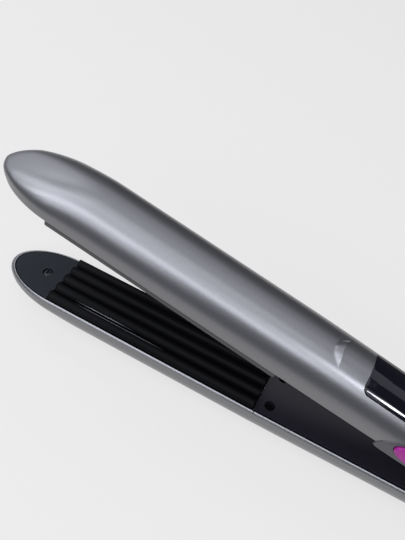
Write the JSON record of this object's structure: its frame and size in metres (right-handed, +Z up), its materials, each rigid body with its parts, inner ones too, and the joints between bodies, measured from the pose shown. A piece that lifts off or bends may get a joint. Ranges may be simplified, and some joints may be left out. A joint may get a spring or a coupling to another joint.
{
  "type": "hair straightener",
  "caption": "Hand-held hair crimper: two long arms on a sprung rear hinge close wavy ribbed heating plates together; push button on the side, swivelling cord outlet at the rear.",
  "frame": {"origin": "on the plane the lower arm rests on, under the middle of the heating plates", "axes": "+X along the lower arm from the nose to the hinge and cord outlet, +Z up out of the lower plate, -Y the side with the power button"},
  "size_m": [0.2816, 0.0281, 0.0831],
  "materials": {
    "shell_silver": "satin metallic silver lacquer on a moulded shell",
    "bezel_silver": "metallic silver plastic",
    "frame_slate": "dark slate, fine matt texture",
    "hinge_dark": "dark, satin",
    "plate_black": "glossy black ceramic coating over aluminium",
    "cover_dark": "satin dark plastic",
    "panel_black": "piano black",
    "button_magenta": "magenta",
    "bush_black": "black, satin",
    "cap_dark": "dark, satin",
    "steel_dark": "darkened steel",
    "steel_bright": "ground steel",
    "heater_ceramic": "ceramic heater, off-white",
    "post_ceramic": "heat-resistant moulding, natural",
    "tray_aluminium": "stamped sheet, plain",
    "insulator_mica": "mica sheet",
    "fuse_metal": "tinned can",
    "sensor_glass": "glass bead on a foil tab, coated",
    "lead_white": "silicone sleeve, white",
    "board_green": "circuit board, green",
    "capacitor_blue": "sleeved can",
    "chip_black": "moulded package",
    "led_red": "clear red lens"
  },
  "bodies": {
    "lower_arm": {"lower_shell": "shell_silver", "lower_frame": "frame_slate", "lower_handle_cover": "cover_dark", "lower_screws": "steel_dark", "lower_leads": "lead_white", "lower_hinge_block": "hinge_dark", "lower_plate_springs": "steel_bright", "torsion_springs": "steel_bright"},
    "floating_plate": {"lower_plate": "plate_black", "lower_heater": "heater_ceramic", "lower_heater_tray": "tray_aluminium", "lower_insulator": "insulator_mica", "lower_thermal_fuse": "fuse_metal"},
    "upper_arm": {"upper_shell": "shell_silver", "upper_frame": "frame_slate", "upper_plate": "plate_black", "upper_heater": "heater_ceramic", "upper_heater_tray": "tray_aluminium", "upper_insulator": "insulator_mica", "upper_plate_posts": "post_ceramic", "upper_temperature_sensor": "sensor_glass", "upper_handle_cover": "cover_dark", "upper_screws": "steel_dark", "upper_leads": "lead_white", "control_panel": "panel_black", "control_board": "board_green", "board_capacitor": "capacitor_blue", "board_triac": "chip_black", "board_controller": "chip_black", "indicator_led": "led_red", "push_switch": "chip_black", "button_bezel": "bezel_silver", "upper_hinge_yoke": "hinge_dark", "hinge_pins": "steel_bright", "hinge_caps": "cap_dark"},
    "power_button": {"power_button": "button_magenta"},
    "cord_swivel": {"cord_swivel": "bush_black", "swivel_clip": "steel_bright"}
  },
  "joints": [
    {"name": "arm_hinge", "type": "hinge", "parent": "lower_arm", "child": "upper_arm", "pos_m": [0.1816, 0, 0.0187], "axis": [0, 1, 0], "range_deg": [-12, 0], "stiffness_Nm_per_rad": 0.9, "springref_deg": 20.05},
    {"name": "plate_float", "type": "slide", "parent": "lower_arm", "child": "floating_plate", "axis": [0, 0, 1], "range_m": [-0.0008, 0], "stiffness_N_per_m": 3000, "springref_m": 0.001, "deforming": ["lower_plate_springs"]},
    {"name": "button_press", "type": "slide", "parent": "upper_arm", "child": "power_button", "axis": [0, 1, 0], "range_m": [0, 0.001], "stiffness_N_per_m": 400, "springref_m": -0.002},
    {"name": "cord_swivel_turn", "type": "hinge", "parent": "lower_arm", "child": "cord_swivel", "pos_m": [0.196, 0, 0.0187], "axis": [1, 0, 0], "continuous": true}
  ]
}
